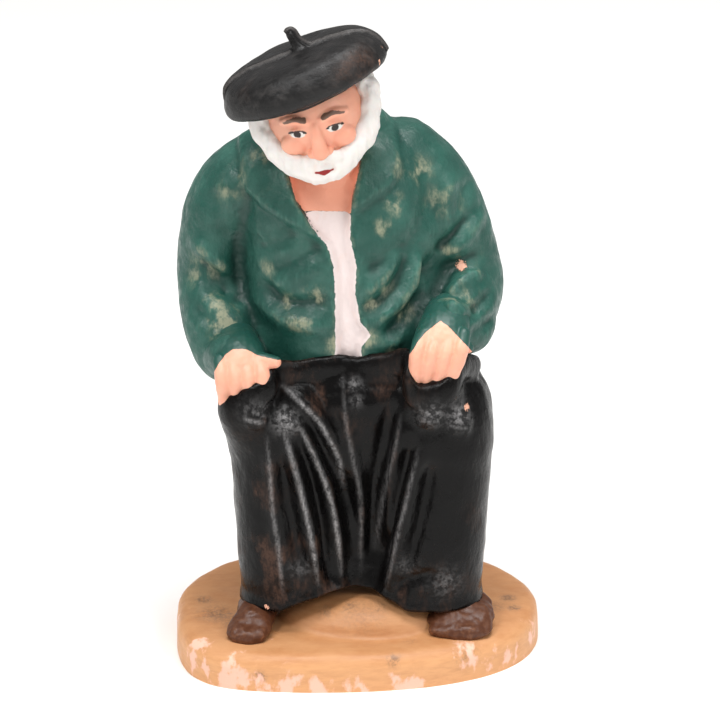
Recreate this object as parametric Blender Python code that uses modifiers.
"""Caganer figurine: an old countryman in beret and jacket, squatting on a rounded base.

The figure and its base are one moulding. Sizes below are in millimetres, the model is in metres,
+Z is up, the figure faces -Y, and the origin is the middle of the base's flat underside.
"""

import math

import bmesh
import bpy
import numpy as np
from mathutils import Euler, Matrix, Vector

UNIT = 0.001

# Base
BASE_WIDTH = 49.6
BASE_DEPTH = 40.6
BASE_FRONT = 20.9
BASE_HEIGHT = 5.0
BASE_EDGE = 2.0
BASE_SQUARE_FRONT = 2.75
BASE_SQUARE_BACK = 1.8
BASE_SKEW = 5.4
MOUND_HEIGHT = 4.2

# Legs and trousers
LEGS_X = 0.5
LEGS_Y = -6.0
SHIN_HEIGHT = 29.5
LEG_HALF_WIDTH = 8.3
LEG_HALF_DEPTH = 7.6
KNEE_SPREAD = 18.9
FOOT_SPREAD = 22.6
HEM_CLEARANCE = 3.0
HEM_ARCH_WIDTH = 17.0
HEM_ARCH_RISE = 2.6
HEM_ARCH_SHIFT = 2.2
THIGH_LENGTH = 16.0
THIGH_RADIUS = 7.4
SEAT_DROP = 6.0
SEAT_RADIUS = 7.6
WAISTBAND_RISE = 8.6

# Jacket
TORSO_HEIGHT = 31.0
TORSO_HALF_WIDTH = 14.6
TORSO_HALF_DEPTH = 12.0
TORSO_SHIFT_X = -2.8
SHOULDER_SPREAD = 23.4
ARM_RADIUS = 5.3
ELBOW_DROP = 15.5
ELBOW_SPREAD = 33.2
CUFF_RADIUS = 4.0
COLLAR_THICKNESS = 0.9
FRONT_GAP_DEPTH = 1.3

# Head
HEAD_HEIGHT = 14.2
HEAD_WIDTH = 13.4
HEAD_DEPTH = 13.2
HEAD_TILT = 10.0
HEAD_ROLL = 11.0
HEAD_SHIFT = (-2.5, -9.4, 10.4)
NECK_RADIUS = 4.5
BEARD_THICKNESS = 1.5

# Beret
BERET_WIDTH = 22.2
BERET_DEPTH = 17.8
BERET_HEIGHT = 5.5
BERET_ROLL = 25.0
BERET_LEAN = 0.12
BERET_PITCH = 3.0
STALK_LENGTH = 2.75
STALK_RADIUS = 0.95

# Hands and shoes
HAND_WIDTH = 7.4
FINGER_RADIUS = 1.0
SHOE_SPREAD = 27.2
SHOE_LENGTH = 10.4
SHOE_WIDTH = 6.4
SHOE_HEIGHT = 4.4

# Surface
VOXEL = 0.45
TRIANGLES = 11600

LEFT, RIGHT = -1, 1

ground = BASE_HEIGHT
knee_z = ground + SHIN_HEIGHT
hip = Vector((LEGS_X - 0.4, LEGS_Y + THIGH_LENGTH, knee_z - SEAT_DROP))
shoulders = Vector((TORSO_SHIFT_X, 1.6, knee_z + TORSO_HEIGHT))
head = shoulders + Vector(HEAD_SHIFT)
head_turn = Euler((math.radians(HEAD_TILT), math.radians(-HEAD_ROLL), 0)).to_matrix()


def knee(side):
    """The middle of a knee."""
    return Vector((LEGS_X + side * KNEE_SPREAD / 2, LEGS_Y, knee_z))


def ankle(side):
    """Where a trouser leg ends, above the shoe."""
    return Vector((LEGS_X + side * FOOT_SPREAD / 2, LEGS_Y - 0.4, ground + HEM_CLEARANCE))


def shoulder(side):
    """The middle of a sleeve's top."""
    return shoulders + Vector((side * SHOULDER_SPREAD / 2, 0.6, 0))


def elbow(side):
    """The middle of a bent elbow."""
    return shoulders + Vector((side * ELBOW_SPREAD / 2 + 0.5, 1.4, -ELBOW_DROP))


def wrist(side):
    """Where the hand leaves the cuff: the right hand is held a little higher than the left."""
    reach = {LEFT: (3.4, -10.4, -7.2), RIGHT: (-3.1, -10.0, -3.0)}
    return elbow(side) + Vector(reach[side])


def spline(rows, steps=5):
    """Rows of numbers made denser along a smooth curve that passes through each of them."""
    rows = np.array(rows, float)
    padded = np.vstack([2 * rows[0] - rows[1], rows, 2 * rows[-1] - rows[-2]])
    made = []
    for i in range(len(rows) - 1):
        a, b, c, d = padded[i : i + 4]
        for t in np.arange(steps) / steps:
            made.append(
                0.5 * (2 * b + (c - a) * t + (2 * a - 5 * b + 4 * c - d) * t**2
                       + (3 * b - a - 3 * c + d) * t**3)
            )
    return np.array(made + [rows[-1]])


def new_object(name, mesh_data, collection):
    """An object that holds a mesh, in its collection."""
    made = bpy.data.objects.new(name, mesh_data)
    collection.objects.link(made)
    return made


def limb(name, stations, across=(1, 0, 0), ring=18, steps=5, square=2.0, flat_start=False):
    """A closed round form through stations: (x, y, z, half width, half depth), with domed ends.

    The half width lies along the across direction and the half depth at right angles to it.
    A flat start is cut square instead, as a hem is.
    """
    rows = spline(stations, steps)
    centres, radii = rows[:, :3], rows[:, 3:]
    tangents = np.gradient(centres, axis=0)
    tangents /= np.linalg.norm(tangents, axis=1)[:, None]
    dome = np.radians([30, 60])
    bulge = 0 if flat_start else radii[0].min()
    first = [(centres[0] - tangents[0] * bulge * math.sin(a), radii[0] * math.cos(a), 0)
             for a in dome[::-1] if not flat_start]
    last = [(centres[-1] + tangents[-1] * radii[-1].min() * math.sin(a), radii[-1] * math.cos(a), -1)
            for a in dome]
    body = [(centres[i], radii[i], i) for i in range(len(rows))]
    shape = bmesh.new()
    rings = []
    for centre, (half, deep), i in [*first, *body, *last]:
        side = np.array(across, float)
        side -= tangents[i] * (side @ tangents[i])
        side /= np.linalg.norm(side)
        front = np.cross(tangents[i], side)
        loop = []
        for angle in np.linspace(0, 2 * math.pi, ring, endpoint=False):
            c, s = math.cos(angle), math.sin(angle)
            u = math.copysign(abs(c) ** (2 / square), c) * half
            v = math.copysign(abs(s) ** (2 / square), s) * deep
            loop.append(shape.verts.new((centre + side * u + front * v) * UNIT))
        rings.append(loop)
    poles = [centres[0] - tangents[0] * bulge, centres[-1] + tangents[-1] * radii[-1].min()]
    tips = [shape.verts.new(p * UNIT) for p in poles]
    for low, high in zip(rings, rings[1:]):
        for i in range(ring):
            j = (i + 1) % ring
            shape.faces.new((low[i], low[j], high[j], high[i]))
    for i in range(ring):
        j = (i + 1) % ring
        shape.faces.new((tips[0], rings[0][j], rings[0][i]))
        shape.faces.new((tips[1], rings[-1][i], rings[-1][j]))
    bmesh.ops.recalc_face_normals(shape, faces=shape.faces)
    data = bpy.data.meshes.new(name)
    shape.to_mesh(data)
    shape.free()
    return new_object(name, data, workshop)


def ball(name, centre, halves, turn=None):
    """A closed ellipsoid with the given half sizes."""
    data = bpy.data.meshes.new(name)
    shape = bmesh.new()
    matrix = Matrix.Translation(Vector(centre) * UNIT)
    if turn is not None:
        matrix = matrix @ turn.to_4x4()
    matrix = matrix @ Matrix.Diagonal((*[h * UNIT for h in halves], 1))
    bmesh.ops.create_uvsphere(shape, u_segments=24, v_segments=16, radius=1, matrix=matrix)
    shape.to_mesh(data)
    shape.free()
    return new_object(name, data, workshop)


def evaluated_mesh(made):
    """A new mesh with the object's modifiers and place applied; the object goes."""
    graph = bpy.context.evaluated_depsgraph_get()
    data = bpy.data.meshes.new_from_object(made.evaluated_get(graph))
    data.transform(made.matrix_world)
    bpy.data.objects.remove(made)
    return data


def fuse(name, forms, voxel, smoothing=2):
    """Overlapping closed forms joined into one skin of even squares."""
    shape = bmesh.new()
    bpy.context.view_layer.update()
    for form in forms:
        data = evaluated_mesh(form)
        shape.from_mesh(data)
        bpy.data.meshes.remove(data)
    data = bpy.data.meshes.new(name)
    shape.to_mesh(data)
    shape.free()
    made = new_object(name, data, workshop)
    skin = made.modifiers.new("Fuse", "REMESH")
    skin.mode = "VOXEL"
    skin.voxel_size = voxel * UNIT
    if smoothing:
        soften = made.modifiers.new("Soften", "SMOOTH")
        soften.factor = 0.5
        soften.iterations = smoothing
    return new_object(name, evaluated_mesh(made), workshop)


def points_of(made):
    """The object's vertices, in millimetres, and their normals."""
    count = len(made.data.vertices)
    points, normals = np.zeros(count * 3), np.zeros(count * 3)
    made.data.vertices.foreach_get("co", points)
    made.data.vertex_normals.foreach_get("vector", normals)
    return points.reshape(-1, 3) / UNIT, normals.reshape(-1, 3)


def put_points(made, points):
    """Moves the object's vertices to these places, in millimetres."""
    made.data.vertices.foreach_set("co", (points * UNIT).ravel())
    made.data.update()


def near_path(flat, path):
    """Each flat point's distance from a path, and how far along the path that is, from 0 to 1."""
    path = spline(path, 4)
    steps = np.linalg.norm(np.diff(path, axis=0), axis=1)
    starts = np.concatenate([[0], np.cumsum(steps)])
    best, share = np.full(len(flat), 1e9), np.zeros(len(flat))
    for i in range(len(path) - 1):
        a, d = path[i], path[i + 1] - path[i]
        t = np.clip(((flat - a) @ d) / max(d @ d, 1e-9), 0, 1)
        away = np.linalg.norm(flat - a - t[:, None] * d, axis=1)
        closer = away < best
        best[closer] = away[closer]
        share[closer] = (starts[i] + t[closer] * steps[i]) / starts[-1]
    return best, share


def inside(flat, outline):
    """Signed distance of each flat point from a closed outline, above 0 inside it."""
    outline = np.array(outline, float)
    crossings = np.zeros(len(flat), bool)
    best = np.full(len(flat), 1e9)
    for a, b in zip(outline, np.roll(outline, -1, axis=0)):
        d = b - a
        t = np.clip(((flat - a) @ d) / max(d @ d, 1e-9), 0, 1)
        best = np.minimum(best, np.linalg.norm(flat - a - t[:, None] * d, axis=1))
        spans = (a[1] > flat[:, 1]) != (b[1] > flat[:, 1])
        reach = a[0] + (flat[:, 1] - a[1]) * d[0] / (d[1] if d[1] else 1e-9)
        crossings ^= spans & (flat[:, 0] < reach)
    return np.where(crossings, best, -best)


class Panel:
    """The front or back elevation of a garment: u is -1 to 1 across it, w is 0 to 1 up it."""

    def __init__(self, middle, half_width, bottom, top, facing=-1):
        self.middle, self.half_width = middle, half_width
        self.bottom, self.height = bottom, top - bottom
        self.facing = facing

    def flat(self, points):
        return np.stack([(points[:, 0] - self.middle) / self.half_width,
                         (points[:, 2] - self.bottom) / self.height], axis=1)

    def scale(self):
        return np.array([self.half_width, self.height])

    def faces(self, normals):
        """How far each point looks towards this panel's side, from 0 to 1."""
        return np.clip(normals[:, 1] * self.facing * 2.5 + 0.25, 0, 1)


def fold(made, panel, folds):
    """Soft ridges, above 0, and valleys, below 0: (points, half width, height) for each."""
    points, normals = points_of(made)
    flat = panel.flat(points) * panel.scale()
    turned = panel.faces(normals)
    lift = np.zeros(len(points))
    for path, width, height in folds:
        away, share = near_path(flat, np.array(path) * panel.scale())
        ends = np.clip(np.sin(np.pi * np.clip(share, 0.02, 0.98)) * 1.8, 0, 1)
        lift += height * np.exp(-((away / width) ** 2)) * ends * turned
    put_points(made, points + normals * lift[:, None])


def relief(made, panel, outline, height, edge=0.35):
    """Raises the part of a surface inside an outline, or sinks it where height is below 0."""
    points, normals = points_of(made)
    flat = panel.flat(points) * panel.scale()
    depth = inside(flat, np.array(outline) * panel.scale())
    share = np.clip(depth / edge + 0.5, 0, 1)
    share = share * share * (3 - 2 * share) * panel.faces(normals)
    put_points(made, points + normals * (height * share)[:, None])


def base():
    """The rounded slab, blunter in front than behind, with the trodden mound under the legs."""
    outline, back = [], BASE_DEPTH - BASE_FRONT
    for angle in np.linspace(0, 2 * math.pi, 72, endpoint=False):
        c, s = math.cos(angle), math.sin(angle)
        power = 2 / (BASE_SQUARE_FRONT if s < 0 else BASE_SQUARE_BACK)
        reach = BASE_FRONT if s < 0 else back
        along = math.copysign(abs(s) ** power, s)
        skew = BASE_SKEW * min(along, 0) ** 3
        across = math.copysign(abs(c) ** power, c)
        outline.append((across * BASE_WIDTH / 2 + skew, along * reach + (BASE_FRONT - back) / 2))
    curve = bpy.data.curves.new("slab", "CURVE")
    curve.dimensions = "2D"
    curve.fill_mode = "BOTH"
    curve.extrude = (BASE_HEIGHT - BASE_EDGE) * UNIT
    curve.bevel_depth = BASE_EDGE * UNIT
    curve.bevel_resolution = 5
    curve.offset = -BASE_EDGE * UNIT
    run = curve.splines.new("POLY")
    run.points.add(len(outline) - 1)
    for point, (x, y) in zip(run.points, outline):
        point.co = (x * UNIT, y * UNIT, 0, 1)
    run.use_cyclic_u = True
    slab = new_object("slab", curve, workshop)
    mound = ball("mound", (LEGS_X + 0.8, LEGS_Y, ground - 0.6),
                 (KNEE_SPREAD * 0.66, 8.2, MOUND_HEIGHT + 0.6))
    heel = ball("heel", (LEGS_X, LEGS_Y + THIGH_LENGTH * 0.56, ground - 1),
                (KNEE_SPREAD * 0.79, BASE_DEPTH * 0.27, MOUND_HEIGHT * 0.52))
    return fuse("base", [slab, mound, heel], VOXEL, 3)


def shoes():
    """Blunt shoes that stick out from under the hems; the left one points further forward."""
    forms = []
    for side, turn, wide, reach in ((LEFT, -0.22, 0.90, 1.0), (RIGHT, -0.06, 1.48, 0.80)):
        heel = Vector((LEGS_X + side * SHOE_SPREAD / 2, LEGS_Y - 1.0, ground))
        toe = Vector((math.sin(turn), -math.cos(turn), 0)) * SHOE_LENGTH * reach
        half = SHOE_WIDTH / 2 * wide
        rows = ((0.0, 1.9, 0.92, 0.52), (0.42, 1.5, 1.0, 0.50), (0.74, 0.9, 0.94, 0.42))
        forms.append(limb("shoe", [
            (heel.x + toe.x * t, heel.y + toe.y * t, ground + up, half * w, SHOE_HEIGHT * h)
            for t, up, w, h in rows
        ]))
    return forms


# The waistband's front edge: x, y, z from the left wrist, from the middle of its top and from
# the right wrist. It dips below each hand's fingers and peaks beside them.
RIM_AT_LEFT_HAND = [(-1.7, -0.6, -5.8), (-1.9, -4.0, -6.2), (-0.5, -6.0, -6.2), (2.1, -6.6, -3.5),
                    (4.1, -6.0, -2.4), (4.8, -4.2, -1.0)]
RIM_MIDDLE = [(-8.0, -4.6, -1.5), (-3.0, -3.8, -1.0), (-1.3, -3.6, -1.8), (0.5, -3.8, -1.2), (4.1, -4.6, -0.4)]
RIM_AT_RIGHT_HAND = [(-4.6, -4.6, -3.5), (-4.5, -6.2, -6.3), (-3.2, -7.0, -7.8), (-0.8, -7.0, -7.3),
                     (1.0, -6.4, -6.4), (2.3, -4.0, -4.6), (4.2, -0.4, -6.0)]
# The dropped back of the waistband: shares of the knees' spread, the thighs' length and the
# shins' height, from between the knees.
DROPPED_BACK = [(-0.772, 0.262, 0.051), (-0.757, 0.512, -0.220), (-0.423, 0.638, -0.458),
                (0.0, 0.575, -0.508), (0.423, 0.638, -0.458), (0.720, 0.512, -0.220), (0.709, 0.262, 0.061)]


def arch_hems(made):
    """Draws the hems up into one low arch between the shoes."""
    points, _ = points_of(made)
    aside = np.clip(np.abs(points[:, 0] - LEGS_X + HEM_ARCH_SHIFT) / (HEM_ARCH_WIDTH / 2), 0, 1)
    above = np.clip((points[:, 2] - ground - HEM_CLEARANCE) / (HEM_ARCH_RISE * 3), 0, 1)
    points[:, 2] += HEM_ARCH_RISE * (1 - aside**2) * (1 - above)
    put_points(made, points)


def trousers():
    """Both legs, the cloth stretched between them and the waistband pulled up over the knees."""
    forms = []
    w, d = LEG_HALF_WIDTH, LEG_HALF_DEPTH
    for side in (LEFT, RIGHT):
        top, low = knee(side), ankle(side)
        leg = [(low.x - side * 3.0, low.y + 0.2, low.z, w * 1.00, d * 0.90),
               (low.x - side * 2.9, low.y + 0.2, low.z + 2.4, w * 0.95, d * 0.86)]
        for t in (0.25, 0.5, 0.75, 0.95):
            at = low.lerp(top, t)
            leg.append((at.x - side * 2.5 * (1 - t), at.y, at.z,
                        w * (0.90 + 0.10 * t), d * (0.88 + 0.14 * t)))
        leg.append((top.x - 0.5, top.y + 2.0, top.z + 3.0, w * 0.88, d * 0.80))
        forms.append(limb("leg", leg, ring=24, square=2.3, flat_start=True))
        forms.append(limb("thigh", [
            (top.x, top.y, top.z + 0.5, w, THIGH_RADIUS),
            (*(hip + Vector((side * 5.5, -6.5, 2.5))), w * 0.95, THIGH_RADIUS),
        ]))
    w = KNEE_SPREAD / 2
    forms.append(limb("between_legs", [
        (LEGS_X + 1.0, LEGS_Y + 0.8, ground + 3.2, w * 0.8, 5.0),
        (LEGS_X + 0.4, LEGS_Y + 0.6, ground + 14, w * 0.9, 5.0),
        (LEGS_X, LEGS_Y + 0.2, knee_z - 6, w, 6.0),
        (LEGS_X - 0.5, LEGS_Y + 1.2, knee_z + 2.0, w * 1.1, 7.6),
    ], square=2.4, flat_start=True))
    top = knee_z + WAISTBAND_RISE
    forms.append(limb("lap", [
        (LEGS_X - KNEE_SPREAD * 0.62, LEGS_Y + 2.4, top - 7.2, 6.4, 6.0),
        (LEGS_X - 4, LEGS_Y + 1.2, top - 5.6, 7.0, 6.2),
        (LEGS_X + 4, LEGS_Y + 1.2, top - 5.4, 7.0, 6.2),
        (LEGS_X + KNEE_SPREAD * 0.55, LEGS_Y + 2.6, top - 6.6, 6.8, 6.0),
    ], across=(0, 1, 0)))
    middle = Vector((LEGS_X, LEGS_Y, top))
    rim = [wrist(LEFT) + Vector(p) for p in RIM_AT_LEFT_HAND]
    rim += [middle + Vector(p) for p in RIM_MIDDLE]
    rim += [wrist(RIGHT) + Vector(p) for p in RIM_AT_RIGHT_HAND]
    forms.append(limb("waistband", [(*p, 1.8, 0.9) for p in rim], across=(0, 0, 1), ring=12))
    forms.append(limb("dropped_waistband", [
        (LEGS_X + x * KNEE_SPREAD, LEGS_Y + y * THIGH_LENGTH, knee_z + z * SHIN_HEIGHT, 2.6, 3.0)
        for x, y, z in DROPPED_BACK
    ], across=(0, 1, 0), steps=4))
    for side, fall in ((LEFT, -6.0), (RIGHT, -8.2)):
        grip = wrist(side) + Vector((-side * 1.2, -3.4, fall))
        low = knee(side) - Vector((0, 0, 6))
        forms.append(limb("gathered_cloth", [
            (grip.x + side * 0.6, grip.y + 3.4, grip.z + 4.2, HAND_WIDTH * 0.42, 3.0),
            (grip.x, grip.y + 0.4, grip.z + 2.4, HAND_WIDTH * 0.46, 3.2),
            (*grip, HAND_WIDTH * 0.56, 3.9),
            (*grip.lerp(low, 0.35), LEG_HALF_WIDTH * 0.70, 5.0),
            (*grip.lerp(low, 0.80), LEG_HALF_WIDTH * 0.92, 6.2),
        ]))
    made = fuse("trousers", forms, VOXEL, 4)
    arch_hems(made)
    fold(made, trouser_front, TROUSER_FOLDS)
    fold(made, trouser_back, TROUSER_BACK_FOLDS)
    return made


def seat():
    """Bare thighs and buttocks behind, between the jacket's hem and the dropped waistband."""
    forms = []
    for side in (LEFT, RIGHT):
        top = knee(side)
        forms.append(limb("bare_thigh", [
            (top.x, top.y + 3, top.z - 0.5, THIGH_RADIUS * 0.95, THIGH_RADIUS * 0.9),
            (hip.x + side * 6.4, hip.y - 5, hip.z + 1.2, THIGH_RADIUS * 0.98, THIGH_RADIUS * 0.94),
            (hip.x + side * 5.0, hip.y + 1.5, hip.z + 0.6, SEAT_RADIUS * 0.94, SEAT_RADIUS * 0.94),
        ]))
        forms.append(ball("cheek", hip + Vector((side * 5.0, 2.0, -0.2)),
                          (SEAT_RADIUS, SEAT_RADIUS * 0.98, SEAT_RADIUS)))
    return forms


def dropping():
    """The small coiled pile on the ground behind the heels."""
    forms = []
    x, y = hip.x, hip.y + 3.0
    for level, (radius, thick) in enumerate(((2.5, 1.5), (1.6, 1.3), (0.6, 1.1))):
        coil = [(x + radius * math.cos(a), y + radius * math.sin(a),
                 ground + 0.7 + level * 1.7 + a * 0.12, thick, thick)
                for a in np.linspace(0, 2 * math.pi, 9)]
        forms.append(limb("coil", coil, across=(0, 0, 1), steps=2, ring=12))
    forms.append(limb("tip", [(x, y, ground + 4.6, 0.95, 0.95), (x + 0.3, y, ground + 6.2, 0.5, 0.5)]))
    return forms


def jacket():
    """The rounded back and open front, with set-in sleeves, wide lapels and a turned-up collar."""
    s, w, d = shoulders, TORSO_HALF_WIDTH, TORSO_HALF_DEPTH
    height = TORSO_HEIGHT
    torso = limb("torso", [
        (LEGS_X - 1.2, 4.4, s.z - height + 1.0, w * 0.97, d * 1.02),
        (LEGS_X - 1.6, 3.2, s.z - height + 7.5, w * 1.02, d * 1.08),
        (s.x + 1.4, 2.4, s.z - height * 0.51, w * 0.97, d * 1.06),
        (s.x + 0.8, 1.8, s.z - height * 0.28, w * 0.97, d * 1.01),
        (s.x + 0.3, 1.6, s.z - height * 0.08, w * 0.95, d * 0.90),
        (s.x, 1.6, s.z + 3.0, w * 0.80, d * 0.70),
        (s.x - 0.3, 1.4, s.z + 5.6, w * 0.48, d * 0.50),
    ], ring=32, square=2.2)
    forms = [torso]
    for side, lift in ((LEFT, 0.2), (RIGHT, 1.2)):
        top, bend, cuff = shoulder(side), elbow(side), wrist(side)
        r = ARM_RADIUS
        forms.append(limb("sleeve", [
            (top.x - side * 2.8, top.y, top.z + 0.6 + lift, r * 0.96, r * 1.1),
            (top.x + side * 1.1 - lift * 0.7, top.y + 0.2, top.z - 3.0 + lift, r * 1.04, r * 1.25),
            (*((top + bend) / 2 + Vector((side * 1.2 - lift * 0.6, 0.6, 0))), r * 1.02, r * 1.22),
            (*bend, r * 0.98, r * 1.12),
            (*(bend.lerp(cuff, 0.45) + Vector((side * 0.8, 0, -1.2))), r * 0.95, r * 1.0),
            (*(cuff + Vector((side * (1.2 + lift), 2.4 + lift, -0.6 - lift))),
             CUFF_RADIUS * 1.12, CUFF_RADIUS * 0.95),
            (cuff.x + side * 0.3, cuff.y - 1.0 + side * 0.4, cuff.z + 0.5, CUFF_RADIUS * 0.95, CUFF_RADIUS * 0.80),
        ], ring=24))
    forms.append(limb("collar_roll", [
        (s.x - 8.8, -1.2, s.z + 2.4, 2.4, 1.4),
        (s.x - 7.7, 2.6, s.z + 4.9, 2.9, 1.8),
        (s.x - 4.4, 5.8, s.z + 6.6, 3.1, 2.1),
        (s.x + 2.2, 5.8, s.z + 6.6, 3.1, 2.1),
        (s.x + 5.7, 2.6, s.z + 4.4, 2.9, 1.8),
        (s.x + 7.4, -1.2, s.z + 2.0, 2.4, 1.4),
    ], across=(0, 0, 1)))
    hem = [(LEGS_X - 0.8 + x * w, 4.4 + y * d, s.z - height + z, 1.8, 2.2) for x, y, z in (
        (-1.02, -0.1, 2.6), (-0.86, 0.62, 2.0), (-0.40, 0.98, 2.6),
        (0.16, 1.04, 3.0), (0.62, 0.86, 2.4), (0.98, 0.1, 2.6))]
    forms.append(limb("back_hem", hem, across=(0, 0, 1)))
    made = fuse("jacket", forms, VOXEL, 4)
    relief(made, jacket_front, LEFT_LAPEL, COLLAR_THICKNESS)
    relief(made, jacket_front, RIGHT_LAPEL, COLLAR_THICKNESS)
    fold(made, jacket_front, JACKET_FOLDS)
    fold(made, jacket_back, BACK_FOLDS)
    relief(made, jacket_front, FRONT_OPENING, -FRONT_GAP_DEPTH)
    return made


# Each hand from its wrist to its hidden finger ends: x, y, z from the wrist, then half the
# width as a share of the hand's, and half the depth.
LEFT_HAND = [(-0.4, 1.4, 1.6, 0.78, 2.5), (0.2, -2.6, 0.9, 0.88, 2.5), (0.6, -4.6, -1.2, 0.92, 2.0),
             (0.4, -3.3, -4.8, 0.78, 1.6)]
RIGHT_HAND = [(0.6, 1.2, 1.2, 0.78, 2.5), (0.0, -2.8, 0.2, 0.90, 2.5), (-0.8, -5.0, -2.2, 0.96, 2.0),
              (-1.6, -3.7, -6.4, 0.80, 1.6)]
LEFT_THUMB = [(2.6, -4.4, 0.8), (4.9, -5.2, 0.9)]
RIGHT_THUMB = [(1.6, -2.6, -0.8), (3.2, -3.6, -2.0)]


def hands():
    """Both hands with their backs outward, the fingers down inside the waistband."""
    forms = []
    for side, path, thumb in ((LEFT, LEFT_HAND, LEFT_THUMB), (RIGHT, RIGHT_HAND, RIGHT_THUMB)):
        start, half = wrist(side), HAND_WIDTH / 2
        stations = [(start.x + x, start.y + y, start.z + z, half * wide, deep) for x, y, z, wide, deep in path]
        forms.append(limb("palm", stations))
        for spread in (-1, -0.34, 0.34, 1):
            forms.append(limb("finger", [
                (x + spread * (wide - FINGER_RADIUS * 0.8), y - deep + FINGER_RADIUS * 0.75, z,
                 FINGER_RADIUS, FINGER_RADIUS) for x, y, z, wide, deep in stations[1:]
            ], ring=12))
        forms.append(limb("thumb", [
            (*(start + Vector(thumb[0])), 1.3, 1.2),
            (*(start + Vector(thumb[1])), 0.8, 0.8),
        ], across=(0, 0, 1), ring=12))
    return forms


def face_point(x, y, z):
    """A place on the head: x across, y forward, z up, in half widths, half depths and half heights."""
    local = Vector((x * HEAD_WIDTH / 2, -y * HEAD_DEPTH / 2, z * HEAD_HEIGHT / 2))
    return head + head_turn @ local


def head_and_neck():
    """A plain head: eyes half way down, nose a quarter above the chin, the mouth below it."""
    halves = (HEAD_WIDTH / 2, HEAD_DEPTH / 2, HEAD_HEIGHT / 2)
    forms = [ball("skull", head, halves, head_turn)]
    forms.append(ball("jaw", face_point(0, 0.22, -0.36),
                      (halves[0] * 0.80, halves[1] * 0.74, halves[2] * 0.50), head_turn))
    forms.append(limb("neck", [
        (shoulders.x, -1.0, shoulders.z - 1, NECK_RADIUS * 1.25, NECK_RADIUS),
        (*head.lerp(shoulders, 0.35), NECK_RADIUS, NECK_RADIUS),
        (*head.lerp(shoulders, 0.1), NECK_RADIUS, NECK_RADIUS),
    ]))
    forms.append(limb("chest", [
        (shoulders.x + 0.6, -5.0, shoulders.z - 9.0, 5.0, 4.2),
        (shoulders.x - 0.2, -3.6, shoulders.z - 2.0, 5.6, 4.0),
        (shoulders.x - 0.4, -2.4, shoulders.z + 2.0, 5.0, 4.0),
    ]))
    forms.append(limb("nose", [
        (*face_point(0, 0.93, 0.10), 0.65, 0.7),
        (*face_point(0, 1.05, -0.14), 0.9, 0.9),
        (*face_point(0, 1.10, -0.34), 1.25, 1.0),
    ], ring=12))
    for side in (LEFT, RIGHT):
        forms.append(ball("cheek_bone", face_point(side * 0.44, 0.78, -0.20), (1.9, 1.3, 1.5), head_turn))
        forms.append(ball("brow", face_point(side * 0.34, 0.85, 0.26), (2.2, 0.9, 0.7), head_turn))
        forms.append(ball("eye", face_point(side * 0.34, 0.84, 0.04), (1.1, 0.7, 0.6), head_turn))
    return forms


def beard():
    """A cropped white beard from temple to temple, with a moustache and hair over the ears."""
    t = BEARD_THICKNESS
    path = [(-1.08, 0.12, 0.34), (-1.00, 0.34, -0.08), (-0.76, 0.64, -0.42), (-0.38, 0.86, -0.62),
            (0.0, 0.94, -0.68),
            (0.38, 0.86, -0.62), (0.76, 0.64, -0.42), (1.00, 0.34, -0.08), (1.08, 0.12, 0.34)]
    wide = (1.8, 1.8, 1.8, 2.0, 2.1, 2.0, 1.8, 1.8, 1.8)
    forms = [limb("beard", [(*face_point(*p), w, t) for p, w in zip(path, wide)], across=(0, 0, 1))]
    forms.append(ball("chin_tuft", face_point(0, 0.78, -0.66), (3.6, 2.4, 2.0), head_turn))
    for side in (LEFT, RIGHT):
        forms.append(limb("moustache", [
            (*face_point(side * 0.05, 1.04, -0.45), 0.9, 0.9),
            (*face_point(side * 0.34, 0.96, -0.50), 1.1, 0.8),
            (*face_point(side * 0.66, 0.74, -0.52), 0.9, 0.9),
        ], across=(0, 0, 1), ring=12))
        forms.append(ball("side_hair", face_point(side * 1.02, -0.10, 0.16), (1.6, 3.4, 4.2), head_turn))
    forms.append(ball("nape_hair", face_point(0, -0.72, -0.05), (5.8, 2.8, 4.6), head_turn))
    return forms


def beret():
    """A turned disc with a soft lip, pulled wider than deep, tilted, with a stalk on its crown."""
    r, h = BERET_WIDTH / 2, BERET_HEIGHT
    profile = [(0, 1.0), (0.30, 0.985), (0.60, 0.95), (0.83, 0.82), (0.95, 0.56), (1.0, 0.28),
               (0.985, 0.10), (0.90, 0.0), (0.72, -0.02), (0.62, -0.16), (0, -0.16)]
    rows = spline(profile, 4)
    rows[:, 0] = np.clip(rows[:, 0], 0, None)
    data = bpy.data.meshes.new("beret")
    data.from_pydata([(x * r * UNIT, 0, z * h * UNIT) for x, z in rows],
                     [(i, i + 1) for i in range(len(rows) - 1)], [])
    made = new_object("beret", data, workshop)
    turn = made.modifiers.new("Turn", "SCREW")
    turn.steps = turn.render_steps = 48
    turn.use_merge_vertices = True
    turn.merge_threshold = 0.00005
    tilt = Euler((math.radians(BERET_PITCH), math.radians(-BERET_ROLL), 0)).to_matrix().to_4x4()
    lean = Matrix.Identity(4)
    lean[0][2] = BERET_LEAN
    middle = head + Vector((-0.8, -0.6, HEAD_HEIGHT * 0.22))
    made.matrix_world = (Matrix.Translation(middle * UNIT) @ tilt @ lean
                         @ Matrix.Diagonal((1, BERET_DEPTH / BERET_WIDTH, 1, 1)))
    root = middle + tilt.to_3x3() @ Vector((1.2, 0.4, h * 0.96))
    tip = root + Vector((-0.5, -0.1, 0.8)).normalized() * STALK_LENGTH
    stalk = limb("stalk", [
        (*root, STALK_RADIUS * 1.5, STALK_RADIUS * 1.5),
        (*root.lerp(tip, 0.4), STALK_RADIUS, STALK_RADIUS),
        (*root.lerp(tip, 0.8), STALK_RADIUS * 0.95, STALK_RADIUS * 0.95),
    ], ring=12)
    return [made, stalk]


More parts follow.
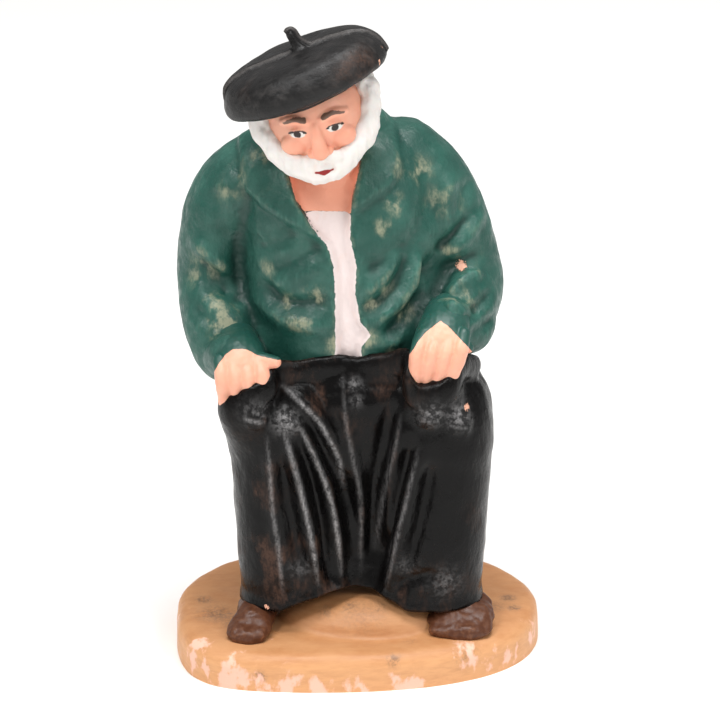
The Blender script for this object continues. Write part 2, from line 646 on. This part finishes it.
trouser_front = Panel(LEGS_X, KNEE_SPREAD / 2 + LEG_HALF_WIDTH, ground + HEM_CLEARANCE,
                      knee_z + WAISTBAND_RISE)
trouser_back = Panel(LEGS_X, KNEE_SPREAD / 2 + LEG_HALF_WIDTH, ground + HEM_CLEARANCE,
                     knee_z + WAISTBAND_RISE, facing=1)
jacket_front = Panel(shoulders.x + 1.0, ELBOW_SPREAD / 2 + ARM_RADIUS, shoulders.z - TORSO_HEIGHT + 7.6,
                     shoulders.z + 6.0)
jacket_back = Panel(shoulders.x + 1.0, ELBOW_SPREAD / 2 + ARM_RADIUS, shoulders.z - TORSO_HEIGHT + 2.0,
                    shoulders.z + 6.0, facing=1)

# Each fold: its points (u, w) on the panel, half width and height in millimetres
TROUSER_FOLDS = [
    ([(-0.06, 0.76), (0.00, 0.45), (0.00, 0.06)], 2.8, -1.2),
    ([(-0.12, 0.97), (-0.10, 0.78), (-0.05, 0.63), (0.01, 0.42), (0.01, 0.12)], 0.8, 0.8),
    ([(-0.68, 0.76), (-0.66, 0.59), (-0.64, 0.42), (-0.60, 0.27), (-0.57, 0.06)], 0.9, 0.6),
    ([(-0.62, 0.70), (-0.56, 0.52), (-0.50, 0.34), (-0.42, 0.10)], 1.0, -1.0),
    ([(-0.58, 0.82), (-0.47, 0.60), (-0.40, 0.44), (-0.35, 0.30), (-0.30, 0.10)], 1.0, 1.0),
    ([(-0.52, 0.80), (-0.38, 0.60), (-0.30, 0.44), (-0.25, 0.30), (-0.20, 0.06)], 1.1, -1.5),
    ([(-0.48, 0.82), (-0.34, 0.66), (-0.23, 0.50), (-0.17, 0.34), (-0.13, 0.12)], 1.0, 1.1),
    ([(-0.44, 0.86), (-0.28, 0.70), (-0.16, 0.54), (-0.09, 0.32)], 1.1, -1.4),
    ([(-0.60, 0.93), (-0.42, 0.86), (-0.27, 0.76), (-0.16, 0.63), (-0.11, 0.48)], 1.0, 1.1),
    ([(0.22, 0.86), (0.15, 0.62), (0.10, 0.40), (0.07, 0.14)], 1.1, -1.3),
    ([(0.31, 0.82), (0.23, 0.60), (0.17, 0.42), (0.12, 0.20)], 0.9, 0.8),
    ([(0.38, 0.76), (0.29, 0.54), (0.21, 0.36), (0.14, 0.10)], 1.0, -1.2),
    ([(0.44, 0.70), (0.35, 0.48), (0.28, 0.32), (0.19, 0.06)], 1.0, 1.0),
    ([(0.54, 0.66), (0.47, 0.45), (0.40, 0.30), (0.30, 0.10)], 1.1, -1.2),
    ([(0.26, 0.09), (0.42, 0.15), (0.60, 0.17)], 0.9, -0.7),
    ([(-0.86, 0.82), (-0.68, 0.80)], 1.4, 0.8),
    ([(-0.61, 0.80), (-0.43, 0.76)], 1.4, 0.8),
    ([(0.41, 0.82), (0.59, 0.80)], 1.4, 0.8),
    ([(0.64, 0.78), (0.82, 0.76)], 1.4, 0.8),
    ([(-0.04, 0.92), (0.14, 0.91), (0.34, 0.90)], 0.7, -0.4),
]
JACKET_FOLDS = [
    ([(-0.61, 0.80), (-0.61, 0.54), (-0.62, 0.36), (-0.56, 0.25), (-0.38, 0.10)], 1.5, -1.6),
    ([(0.51, 0.86), (0.51, 0.67), (0.47, 0.58), (0.50, 0.48), (0.56, 0.37), (0.54, 0.27),
      (0.40, 0.10)], 1.5, -1.6),
    ([(-0.62, 0.33), (-0.52, 0.25), (-0.40, 0.22), (-0.26, 0.20), (-0.03, 0.19)], 1.5, 1.1),
    ([(-0.52, 0.39), (-0.41, 0.30), (-0.30, 0.28), (-0.06, 0.31)], 1.1, -1.0),
    ([(-0.09, 0.59), (-0.26, 0.49), (-0.49, 0.40)], 1.5, -0.9),
    ([(-0.25, 0.62), (-0.40, 0.56), (-0.56, 0.49)], 1.2, -0.8),
    ([(-0.12, 0.50), (-0.30, 0.43), (-0.46, 0.34)], 1.2, 0.5),
    ([(0.54, 0.48), (0.50, 0.34), (0.40, 0.24), (0.22, 0.13)], 1.2, -1.2),
    ([(0.48, 0.52), (0.42, 0.38), (0.31, 0.28), (0.12, 0.19)], 1.2, 1.0),
    ([(0.41, 0.54), (0.32, 0.38), (0.22, 0.30), (0.08, 0.25)], 1.1, -1.1),
    ([(0.35, 0.56), (0.25, 0.42), (0.09, 0.33)], 1.2, 0.7),
    ([(0.40, 0.58), (0.28, 0.50), (0.12, 0.44)], 1.1, -0.8),
    ([(0.10, 0.12), (0.22, 0.11), (0.38, 0.11)], 1.0, 0.6),
    ([(-0.90, 0.51), (-0.78, 0.42), (-0.68, 0.34)], 1.0, 0.9),
    ([(-0.88, 0.43), (-0.76, 0.35), (-0.66, 0.28)], 0.8, -0.7),
    ([(-0.86, 0.32), (-0.68, 0.28), (-0.58, 0.22)], 1.0, -0.8),
    ([(-0.80, 0.76), (-0.73, 0.62), (-0.70, 0.48)], 1.1, -0.7),
    ([(-0.92, 0.22), (-0.78, 0.16)], 0.9, -0.6),
    ([(0.78, 0.63), (0.67, 0.55), (0.57, 0.46)], 0.7, -0.9),
    ([(0.84, 0.62), (0.74, 0.52), (0.62, 0.43)], 0.8, 0.6),
    ([(0.64, 0.82), (0.61, 0.68), (0.62, 0.54)], 0.8, 0.5),
    ([(0.74, 0.78), (0.70, 0.62)], 0.9, -0.6),
    ([(0.60, 0.25), (0.70, 0.33), (0.84, 0.36)], 0.8, 0.9),
    ([(0.62, 0.37), (0.72, 0.42), (0.84, 0.44)], 0.8, -0.7),
    ([(0.91, 0.28), (0.82, 0.24), (0.70, 0.19)], 0.8, -0.9),
    ([(0.74, 0.14), (0.94, 0.16)], 0.7, -0.6),
]
TROUSER_BACK_FOLDS = [
    ([(-0.92, 0.66), (-0.60, 0.46), (0.00, 0.38), (0.56, 0.46), (0.88, 0.66)], 0.8, -0.9),
    ([(-0.80, 0.50), (-0.40, 0.34), (0.10, 0.30), (0.60, 0.36)], 0.8, 0.6),
    ([(-0.50, 0.36), (-0.54, 0.20), (-0.62, 0.06)], 0.9, -0.9),
    ([(0.02, 0.34), (0.00, 0.18), (0.02, 0.04)], 1.4, -1.4),
    ([(0.46, 0.36), (0.50, 0.20), (0.58, 0.06)], 0.9, -0.9),
]
BACK_FOLDS = [
    ([(-0.64, 0.82), (-0.55, 0.62), (-0.52, 0.42), (-0.60, 0.24)], 1.5, -1.3),
    ([(0.56, 0.82), (0.48, 0.62), (0.45, 0.42), (0.54, 0.24)], 1.5, -1.3),
    ([(-0.46, 0.60), (-0.30, 0.36), (-0.20, 0.10)], 1.5, -0.9),
    ([(0.40, 0.62), (0.22, 0.40), (0.16, 0.12)], 1.5, -0.9),
    ([(-0.36, 0.22), (-0.02, 0.16), (0.30, 0.24)], 1.0, 0.8),
    ([(-0.32, 0.32), (-0.02, 0.27), (0.28, 0.34)], 0.9, -0.7),
    ([(-0.40, 0.90), (-0.02, 0.85), (0.36, 0.90)], 0.8, -0.8),
    ([(-0.92, 0.52), (-0.80, 0.44), (-0.70, 0.42)], 0.9, -0.8),
    ([(0.86, 0.52), (0.76, 0.44), (0.64, 0.42)], 0.9, -0.8),
]
LEFT_LAPEL = [(-0.64, 1.10), (-0.63, 0.98), (-0.60, 0.85), (-0.58, 0.75), (-0.52, 0.73), (-0.43, 0.69),
              (-0.33, 0.65), (-0.23, 0.62), (-0.11, 0.57), (-0.13, 0.63), (-0.19, 0.69), (-0.27, 0.78),
              (-0.34, 0.94), (-0.36, 1.10)]
RIGHT_LAPEL = [(0.11, 1.08), (0.09, 0.94), (0.04, 0.80), (0.03, 0.72), (0.09, 0.72), (0.17, 0.76),
               (0.23, 0.78), (0.29, 0.82), (0.33, 0.88), (0.31, 0.98), (0.28, 1.08)]
FRONT_OPENING = [(-0.35, 1.10), (-0.33, 0.93), (-0.26, 0.76), (-0.18, 0.67), (-0.08, 0.57), (-0.04, 0.48),
                 (-0.03, 0.34), (-0.03, -0.10), (0.09, -0.10), (0.09, 0.10), (0.14, 0.15), (0.08, 0.21),
                 (0.05, 0.35), (0.06, 0.47), (0.02, 0.60), (0.03, 0.76), (0.09, 0.94), (0.11, 1.10)]


def stand_flat(made):
    """Cuts the underside level at the origin's height, as the moulding's ground face is."""
    shape = bmesh.new()
    shape.from_mesh(made.data)
    cut = bmesh.ops.bisect_plane(shape, geom=[*shape.verts, *shape.edges, *shape.faces],
                                 plane_co=(0, 0, 0), plane_no=(0, 0, -1), clear_outer=True)
    rim = [e for e in cut["geom_cut"] if isinstance(e, bmesh.types.BMEdge)]
    bmesh.ops.contextual_create(shape, geom=rim)
    bmesh.ops.triangulate(shape, faces=shape.faces)
    bmesh.ops.recalc_face_normals(shape, faces=shape.faces)
    shape.to_mesh(made.data)
    shape.free()


def figurine():
    """The whole moulding: every form fused into one skin, then thinned to an even budget."""
    forms = [base(), trousers(), jacket(), *shoes(), *seat(), *dropping(), *hands(),
             *head_and_neck(), *beard(), *beret()]
    made = fuse("figurine", forms, VOXEL, 1)
    thin = made.modifiers.new("Thin", "DECIMATE")
    thin.ratio = TRIANGLES / (2 * len(made.data.polygons))
    made = new_object("caganer_figurine", evaluated_mesh(made), parts)
    stand_flat(made)
    paint = bpy.data.materials.new("painted_plastic")
    paint.use_nodes = True
    shader = paint.node_tree.nodes["Principled BSDF"]
    shader.inputs["Base Color"].default_value = (0.86, 0.55, 0.42, 1)
    shader.inputs["Roughness"].default_value = 0.4
    shader.inputs["Metallic"].default_value = 0.0
    made.data.materials.append(paint)
    made.data.shade_smooth()
    return made


for leftover in list(bpy.data.objects):
    bpy.data.objects.remove(leftover)
parts = bpy.data.collections.new("caganer_figurine")
workshop = bpy.data.collections.new("workshop")
bpy.context.scene.collection.children.link(parts)
bpy.context.scene.collection.children.link(workshop)
figurine()
